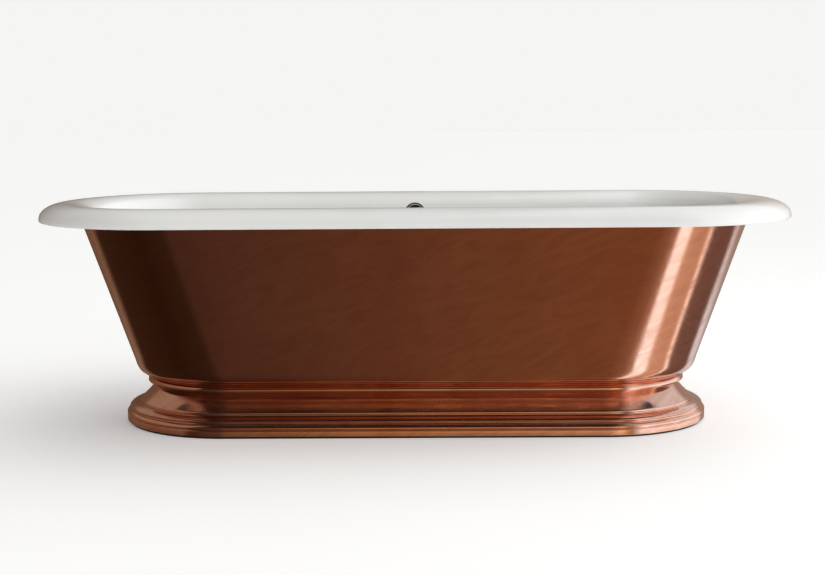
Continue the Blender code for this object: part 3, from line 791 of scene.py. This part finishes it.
def copper_metal(tree, place, wipes):
    """The bare metal's tone, with the wiped film laid over it."""
    patch = add(tree, "ShaderNodeTexNoise", {"Vector": stretched(tree, place, (230, 230, 420)),
                                             "Scale": 1.0, "Detail": 4.0, "Roughness": 0.55})
    metal = add(tree, "ShaderNodeValToRGB", {"Fac": patch.outputs["Fac"]})
    metal.color_ramp.elements[0].position = 0.30
    metal.color_ramp.elements[0].color = linear("#E9B8A4")
    metal.color_ramp.elements[1].position = 0.72
    metal.color_ramp.elements[1].color = linear("#F7CDBD")
    film = add(tree, "ShaderNodeMapRange", {"Value": wipes, "From Min": 0.40, "From Max": 0.70,
                                            "To Min": 0.0, "To Max": 0.38})
    hazed = add(tree, "ShaderNodeMix", {"Factor": film.outputs["Result"], "A": metal.outputs["Color"],
                                        "B": linear("#D09A82")}, data_type="RGBA")
    return hazed.outputs["Result"]


def scratched(tree, place, colour):
    """A few long fine scratches, paler than the metal."""
    slant = tilted(tree, place, -38)
    marks = add(tree, "ShaderNodeTexNoise", {"Vector": stretched(tree, slant, (260, 260, 1.8)),
                                             "Scale": 1.0, "Detail": 1.0, "Distortion": 0.3})
    scratch = add(tree, "ShaderNodeMapRange", {"Value": marks.outputs["Fac"], "From Min": 0.70,
                                               "From Max": 0.76, "To Min": 0.0, "To Max": 0.6})
    handled = add(tree, "ShaderNodeMix", {"Factor": scratch.outputs["Result"], "A": colour,
                                          "B": linear("#FFE6DA")}, data_type="RGBA")
    return handled.outputs["Result"]


def painted_edge_shade(tree, place, wipes, colour, low, high):
    """Painted shade: a darker brown towards the lower and the upper edge of the sheet, broken by the wipes.
    """
    height = add(tree, "ShaderNodeSeparateXYZ", {"Vector": place}).outputs["Z"]
    top_edge = add(tree, "ShaderNodeMapRange", {"Value": height, "From Min": high - PAINTED_SHADE_TOP,
                                                "From Max": high, "To Min": 0.0, "To Max": 0.5},
                   interpolation_type="SMOOTHSTEP")
    low_edge = add(tree, "ShaderNodeMapRange", {"Value": height, "From Min": low,
                                                "From Max": low + PAINTED_SHADE_FOOT,
                                                "To Min": 0.5, "To Max": 0.0},
                   interpolation_type="SMOOTHSTEP")
    edges = add(tree, "ShaderNodeMath", {0: top_edge.outputs["Result"], 1: low_edge.outputs["Result"]},
                operation="ADD")
    spread = add(tree, "ShaderNodeMath", {0: edges.outputs["Value"], 1: wipes}, operation="MULTIPLY")
    # painted shade: a darker brown towards both edges, where the sheet lies under an overhang or by the floor
    painted_shade_colour = add(tree, "ShaderNodeMix", {"Factor": spread.outputs["Value"], "A": colour,
                                          "B": linear("#B07A60")}, data_type="RGBA")
    return painted_shade_colour.outputs["Result"]


print("bare copper:", [round(v, 3) for v in linear("#F7CDBD")[:3]])

# %% [markdown]
# ### Polished copper: its polish
# Sheet that was rolled, wrapped and buffed is never a perfect mirror. It has slow swells
# where it was dressed over the casting, and buffing lines. On the tall skin the buffing
# runs up and down, and on the mouldings it runs along them. The lines are drawn 5 mm and
# 2.5 mm wide, coarser than the real ones, so that they show at all.

# %% Polish of the copper
def copper_polish(tree, lines, wipes):
    """Roughness: a little for the buffing lines, and more where it was wiped."""
    streak = add(tree, "ShaderNodeMapRange", {"Value": lines, "From Min": 0.35, "From Max": 0.65,
                                              "To Min": 0.0, "To Max": 0.055})
    smear = add(tree, "ShaderNodeMapRange", {"Value": wipes, "From Min": 0.45, "From Max": 0.75,
                                             "To Min": 0.08, "To Max": 0.16})
    rough = add(tree, "ShaderNodeMath", {0: streak.outputs["Result"], 1: smear.outputs["Result"]},
                operation="ADD")
    return rough.outputs["Value"]


def copper_relief(tree, place, lines, swell_mm):
    """Relief: half a millimetre of slow swell, and the shallow buffing lines on top."""
    swell = add(tree, "ShaderNodeTexNoise", {"Vector": stretched(tree, place, swell_mm),
                                             "Scale": 1.0, "Detail": 2.0})
    dressed = add(tree, "ShaderNodeBump", {"Height": swell.outputs["Fac"], "Strength": 1.0,
                                           "Distance": 0.5 * MM})
    buffed = add(tree, "ShaderNodeBump", {"Height": lines, "Strength": 1.0,
                                          "Distance": 0.012 * MM, "Normal": dressed.outputs["Normal"]})
    return buffed.outputs["Normal"]


def polished_copper(name, line_mm, swell_mm, painted_shade_at):
    """Buffed copper sheet; line_mm are the sizes of a buffing line along X, Y and Z."""
    material, tree, shader, place = new_finish(name)
    lines = add(tree, "ShaderNodeTexNoise", {"Vector": stretched(tree, place, line_mm),
                                             "Scale": 1.0, "Detail": 3.0, "Roughness": 0.6}).outputs["Fac"]
    slant = tilted(tree, place, 24)
    wipes = add(tree, "ShaderNodeTexNoise", {"Vector": stretched(tree, slant, (120, 120, 34)), "Scale": 1.0,
                                             "Detail": 4.0, "Distortion": 1.8}).outputs["Fac"]
    colour = scratched(tree, place, copper_metal(tree, place, wipes))
    tree.links.new(painted_edge_shade(tree, place, wipes, colour, *painted_shade_at), shader.inputs["Base Color"])
    tree.links.new(copper_polish(tree, lines, wipes), shader.inputs["Roughness"])
    tree.links.new(copper_relief(tree, place, lines, swell_mm), shader.inputs["Normal"])
    shader.inputs["Metallic"].default_value = 1.0
    return material


# the skin's painted shade lies below the rim and at the hem, the mouldings' by the floor and under the skin
skin_copper = polished_copper("buffed_copper_skin", (5, 5, 260), (150, 150, 330), (HEM_Z, SKIN_TOP_Z))
moulding_copper = polished_copper("buffed_copper_moulding", (180, 180, 2.5), (260, 260, 40), (0.0, 0.13))
for name in ("copper_skin_rear", "copper_skin_front"):
    bpy.data.objects[name].data.materials.append(skin_copper)
for name in ("ovolo_under_skin", "plinth_flare_sheet", "plinth_foot"):
    bpy.data.objects[name].data.materials.append(moulding_copper)
for name in ("seam_strip_left", "seam_strip_right"):     # CAD nodes that keep their own shape
    for place_slot in frame["nodes"][name].material_slots:
        place_slot.material = moulding_copper

# %% [markdown]
# ### Plated, cast and moulded fittings
# The small pieces share one recipe with different numbers: a colour that varies, a
# roughness that varies with it, and a bump at the size of the marks that its making
# leaves. Chrome shows soft wipe marks of about 9 mm, zinc shows crystal flakes of about
# 4 mm, cast brass is sandy, rubber is dull with bloom, and moulded plastic has a fine
# texture.

# %% Finishes of the fittings
def fitting_finish(name, dark, light, grain_mm, gloss, metallic, bump_mm):
    """A finish from two tones, the size of its grain, two roughnesses and its relief."""
    material, tree, shader, place = new_finish(name)
    grain = add(tree, "ShaderNodeTexNoise", {"Vector": stretched(tree, place, (grain_mm,) * 3),
                                             "Scale": 1.0, "Detail": 4.0})
    tone = add(tree, "ShaderNodeValToRGB", {"Fac": grain.outputs["Fac"]})
    tone.color_ramp.elements[0].position = 0.3
    tone.color_ramp.elements[0].color = linear(dark)
    tone.color_ramp.elements[1].position = 0.7
    tone.color_ramp.elements[1].color = linear(light)
    rough = add(tree, "ShaderNodeMapRange", {"Value": grain.outputs["Fac"], "From Min": 0.3,
                                             "From Max": 0.7, "To Min": gloss[0], "To Max": gloss[1]})
    bump = add(tree, "ShaderNodeBump", {"Height": grain.outputs["Fac"], "Strength": 0.7,
                                        "Distance": bump_mm * MM})
    tree.links.new(tone.outputs["Color"], shader.inputs["Base Color"])
    tree.links.new(rough.outputs["Result"], shader.inputs["Roughness"])
    tree.links.new(bump.outputs["Normal"], shader.inputs["Normal"])
    shader.inputs["Metallic"].default_value = metallic
    return material


chrome_plate = fitting_finish("chrome_plate", "#C3C6C8", "#D9DBDC", 9, (0.04, 0.12), 1.0, 0.01)
zinc_plate = fitting_finish("bright_zinc_plate", "#8E9296", "#B3B6B8", 4, (0.28, 0.42), 1.0, 0.03)
cast_brass = fitting_finish("cast_brass", "#A8853F", "#CBA862", 3, (0.25, 0.40), 1.0, 0.05)
black_rubber = fitting_finish("black_epdm_rubber", "#141414", "#232323", 5, (0.62, 0.82), 0.0, 0.04)
grey_plastic = fitting_finish("dark_grey_polypropylene", "#2E2E2D", "#3E3E3C", 2, (0.42, 0.54), 0.0, 0.02)
print("zinc and brass:", zinc_plate.name, cast_brass.name)

# %% [markdown]
# The hidden pieces keep their CAD shapes, and each takes the finish of its own material
# slot in the record. The new pieces that were turned or drawn above take theirs one by one.

# %% Finish the fittings
BY_SLOT = {"chrome": chrome_plate, "zinc_steel": zinc_plate, "waste_brass": cast_brass,
           "black_rubber": black_rubber, "grey_plastic": grey_plastic}

replaced = {"bath_shell", "skin_front", "skin_rear", "neck_moulding", "plinth_flare",
            "plinth_base_moulding", "plinth_floor_edge", "waste_flange", "plug_cap", "overflow_rose"}
for entry in frame["record"]["subparts"]:
    finish = BY_SLOT.get(entry["material_slot"])
    if entry["node"] in replaced or finish is None:
        continue
    for place_slot in frame["nodes"][entry["node"]].material_slots:
        place_slot.material = finish
# the rubber edge's black also serves as the painted shadow under the plinth
for item, finish in ((flange, chrome_plate), (cap, chrome_plate), (rose, chrome_plate),
                     (rubber_edge_shadow_line, black_rubber)):
    item.data.materials.append(finish)
print("slots finished from the record:", sorted(BY_SLOT))

# %% [markdown]
# ## Stage: floor, light and camera
# The floor is plain and pale, matt paint that drifts in tone over about 900 mm. It glows
# slightly, which keeps it near white to its far end. It is left out of mirror-like
# reflections, because polished copper has hardly a colour of its own and shows whatever
# stands round it: over a white floor the whole skin would turn pale pink. In a studio it
# is shaded with plain dark cloths, and the surround further down does the same.

# %% Floor
FLOOR_HALF = 90.0                # metres: far enough out that no view shows where it ends
FLOOR_GLOW = 0.25


def floor_sheet(half):
    """One flat square at the height on which the bath stands."""
    bm = bmesh.new()
    corners = [bm.verts.new((x, y, 0.0))
               for x, y in ((-half, -half), (half, -half), (half, half), (-half, half))]
    bm.faces.new(corners)
    return to_object("studio_floor", bm, smooth=False)


floor = floor_sheet(FLOOR_HALF)
floor_paint, floor_tree, floor_shader, floor_place = new_finish("pale_studio_floor")
mottle = add(floor_tree, "ShaderNodeTexNoise", {"Vector": stretched(floor_tree, floor_place, (900, 900, 900)),
                                                "Scale": 1.0})
shade = add(floor_tree, "ShaderNodeValToRGB", {"Fac": mottle.outputs["Fac"]})
shade.color_ramp.elements[0].color = linear("#F4F4F3")
shade.color_ramp.elements[1].color = linear("#F8F8F7")
floor_tree.links.new(shade.outputs["Color"], floor_shader.inputs["Base Color"])
floor_shader.inputs["Roughness"].default_value = 0.9
floor_shader.inputs["Specular IOR Level"].default_value = 0.1
floor_shader.inputs["Emission Color"].default_value = linear("#FFFFFF")
floor_shader.inputs["Emission Strength"].default_value = FLOOR_GLOW
floor.data.materials.append(floor_paint)
floor.visible_glossy = False
print("floor reaches", FLOOR_HALF, "m each way")

# %% [markdown]
# The soft light comes from a white surround that is strongest above and to the right, and
# weak from the left, so the rim rolls from bright to shaded. The dot product of a ray with
# the key direction says how far the ray points at the strongest part.

# %% Soft light
KEY_DIRECTION = (0.80, 0.0, 0.60)
DARK_FROM = -0.35                # dot product at which the surround is darkest
WHITE_FROM = 0.95                # and at which it is fully white
world = bpy.data.worlds.new("studio_surround")
bpy.context.scene.world = world
world.use_nodes = True
tree = world.node_tree
tree.nodes.clear()
ray = add(tree, "ShaderNodeLightPath")
direction = add(tree, "ShaderNodeTexCoord").outputs["Generated"]
toward = add(tree, "ShaderNodeSeparateXYZ", {"Vector": direction})
facing = add(tree, "ShaderNodeVectorMath", {0: direction, 1: KEY_DIRECTION}, operation="DOT_PRODUCT")
key_share = add(tree, "ShaderNodeMapRange", {"Value": facing.outputs["Value"], "From Min": DARK_FROM,
                                             "From Max": WHITE_FROM}, interpolation_type="SMOOTHSTEP")
soft_tone = add(tree, "ShaderNodeMix", {"Factor": key_share.outputs["Result"], "A": linear("#37332F"),
                                        "B": linear("#FFFFFF")}, data_type="RGBA")
print("soft light from", KEY_DIRECTION)

# %% [markdown]
# Mirror-like rays see plain cloths and plain white panels instead, placed by compass
# direction: 0 degrees is straight ahead of the bath's front, 90 is its right-hand end and
# -90 its left-hand end. There are three belts of them, below, level with and above the
# bath. They are all far away, so their edges run straight down the leaning ends of the
# skin. Each belt is a colour ramp, because a ramp holds a row of plain tones in one node.

# %% Cloths and panels for mirror-like rays
PANEL_STRENGTH = 1.5             # a white panel is this much brighter than white paper
BELOW_TO_LEVEL = (-0.34, -0.20)  # rise of a ray over which one belt gives way to the next
LEVEL_TO_ABOVE = (0.27, 0.40)
BELOW = ((-180, "#6E5A49"), (-135, "#6E5A49"), (-124, "#2D1E15"), (-60, "#24160B"), (-22, "#2B1D14"),
         (-10, "#402C22"), (0, "#543827"), (12, "#66442B"), (28, "#765440"), (38, "#907058"),
         (43, "#FAFCFE"), (56, "#F4F0EC"), (61, "#B4947C"), (84, "#A88870"), (88, "#F6ECE0"),
         (93, "#664F46"), (127, "#5C4840"), (133, "#BCC0C6"), (180, "#BCC0C6"))
LEVEL = ((-180, "#4A382C"), (-120, "#684F3F"), (-50, "#684F3F"), (-43, "#372822"), (-12, "#4A382C"),
         (0, "#957550"), (12, "#AC9078"), (22, "#DCC098"), (32, "#846650"), (42, "#E6E6E6"),
         (125, "#DEDCD8"), (140, "#86766C"), (180, "#86766C"))
ABOVE = ((-180, "#3A302A"), (-174, "#3A302A"), (-170, "#7C6C5E"), (-46, "#867464"), (-42, "#1E1412"),
         (34, "#221715"), (42, "#B2B4B6"), (168, "#BABCBE"), (174, "#3A302A"), (180, "#3A302A"))


def belt(stops):
    """Tones placed by compass direction round the bath."""
    ramp = add(tree, "ShaderNodeValToRGB", {"Fac": compass.outputs["Result"]})
    elements = ramp.color_ramp.elements
    for index, (degrees, tone) in enumerate(stops):
        position = (degrees + 180) / 360
        stop = elements[index] if index < 2 else elements.new(position)
        stop.position = position
        stop.color = linear(tone)
    return ramp.outputs["Color"]


def above_height(low, high):
    """How far a direction's rise has passed from one height to the next, 0 to 1."""
    return add(tree, "ShaderNodeMapRange", {"Value": toward.outputs["Z"], "From Min": low, "From Max": high},
               interpolation_type="SMOOTHSTEP").outputs["Result"]


ahead = add(tree, "ShaderNodeMath", {0: toward.outputs["Y"], 1: -1.0}, operation="MULTIPLY")
bearing = add(tree, "ShaderNodeMath", {0: toward.outputs["X"], 1: ahead.outputs["Value"]},
              operation="ARCTAN2")
compass = add(tree, "ShaderNodeMapRange", {"Value": bearing.outputs["Value"], "From Min": -math.pi,
                                           "From Max": math.pi})
lower = add(tree, "ShaderNodeMix", {"Factor": above_height(*BELOW_TO_LEVEL), "A": belt(BELOW),
                                    "B": belt(LEVEL)}, data_type="RGBA")
panels = add(tree, "ShaderNodeMix", {"Factor": above_height(*LEVEL_TO_ABOVE), "A": lower.outputs["Result"],
                                     "B": belt(ABOVE)}, data_type="RGBA")
print("tones round the bath:", len(BELOW), len(LEVEL), len(ABOVE))

# %% [markdown]
# One surround serves three kinds of ray. What lights the bath is the soft tone, what the
# copper and the chrome mirror are the cloths and panels, and what stands behind the bath
# is a plain near-white.

# %% Join the surround
SOFT_STRENGTH = 1.22
soft = add(tree, "ShaderNodeBackground", {"Color": soft_tone.outputs["Result"], "Strength": SOFT_STRENGTH})
mirrored = add(tree, "ShaderNodeBackground", {"Color": panels.outputs["Result"], "Strength": PANEL_STRENGTH})
white = add(tree, "ShaderNodeBackground", {"Color": linear("#F5F5F4"), "Strength": 1.0})
lit = add(tree, "ShaderNodeMixShader", {0: ray.outputs["Is Glossy Ray"], 1: soft.outputs["Background"],
                                        2: mirrored.outputs["Background"]})
shown = add(tree, "ShaderNodeMixShader", {0: ray.outputs["Is Camera Ray"], 1: lit.outputs["Shader"],
                                          2: white.outputs["Background"]})
add(tree, "ShaderNodeOutputWorld", {"Surface": shown.outputs["Shader"]})
print("surround strengths, soft and mirrored:", SOFT_STRENGTH, PANEL_STRENGTH)

# %% [markdown]
# A large window stands high to the right. An area light of a window's size gives the soft
# shadow on the floor. Mirror-like rays don't see it, because the panels in the surround
# already stand there for them.

# %% Window
WINDOW_SIDE = 2.6                # metres
WINDOW_POWER = 34                # watts
WINDOW_PLACE = Vector((3.4, -0.5, 2.4))
WINDOW_AIM = Vector((0.0, 0.0, 0.3))
window_data = bpy.data.lights.new("window_right", "AREA")
window_data.shape = "SQUARE"
window_data.size = WINDOW_SIDE
window_data.energy = WINDOW_POWER
window_data.color = linear("#FFFEFC")[:3]
window = bpy.data.objects.new("window_right", window_data)
bpy.context.scene.collection.objects.link(window)
window.location = WINDOW_PLACE
window.visible_glossy = False
window.rotation_euler = (WINDOW_AIM - WINDOW_PLACE).to_track_quat("-Z", "Y").to_euler()
print("window stands", round((WINDOW_AIM - WINDOW_PLACE).length, 2), "m from the bath")

# %% [markdown]
# The camera stands a little over three metres in front of the bath and somewhat above its
# rim, and looks slightly down. A lens a little longer than normal keeps the ends of the
# rim from stretching.

# %% Camera
SENSOR_WIDTH_MM = 36.0
LENS_MM = 57.888
CAMERA_PLACE = (0.0234, -3.2868, 0.7338)
CAMERA_HEADING = 0.0089          # radians to the left of straight ahead
CAMERA_DIP = 0.1243              # radians below the level
CAMERA_ROLL = -0.0067
camera_data = bpy.data.cameras.new("studio_camera")
camera_data.sensor_width = SENSOR_WIDTH_MM
camera_data.lens = LENS_MM
camera_data.clip_end = 2 * FLOOR_HALF
camera = bpy.data.objects.new("studio_camera", camera_data)
bpy.context.scene.collection.objects.link(camera)
aim = Matrix.Rotation(CAMERA_HEADING, 4, "Z") @ Matrix.Rotation(0.5 * math.pi - CAMERA_DIP, 4, "X")
camera.matrix_world = Matrix.Translation(CAMERA_PLACE) @ aim @ Matrix.Rotation(CAMERA_ROLL, 4, "Z")
bpy.context.scene.camera = camera
bpy.context.scene.view_settings.view_transform = "Standard"
print("lens", round(camera_data.lens, 2), "mm")
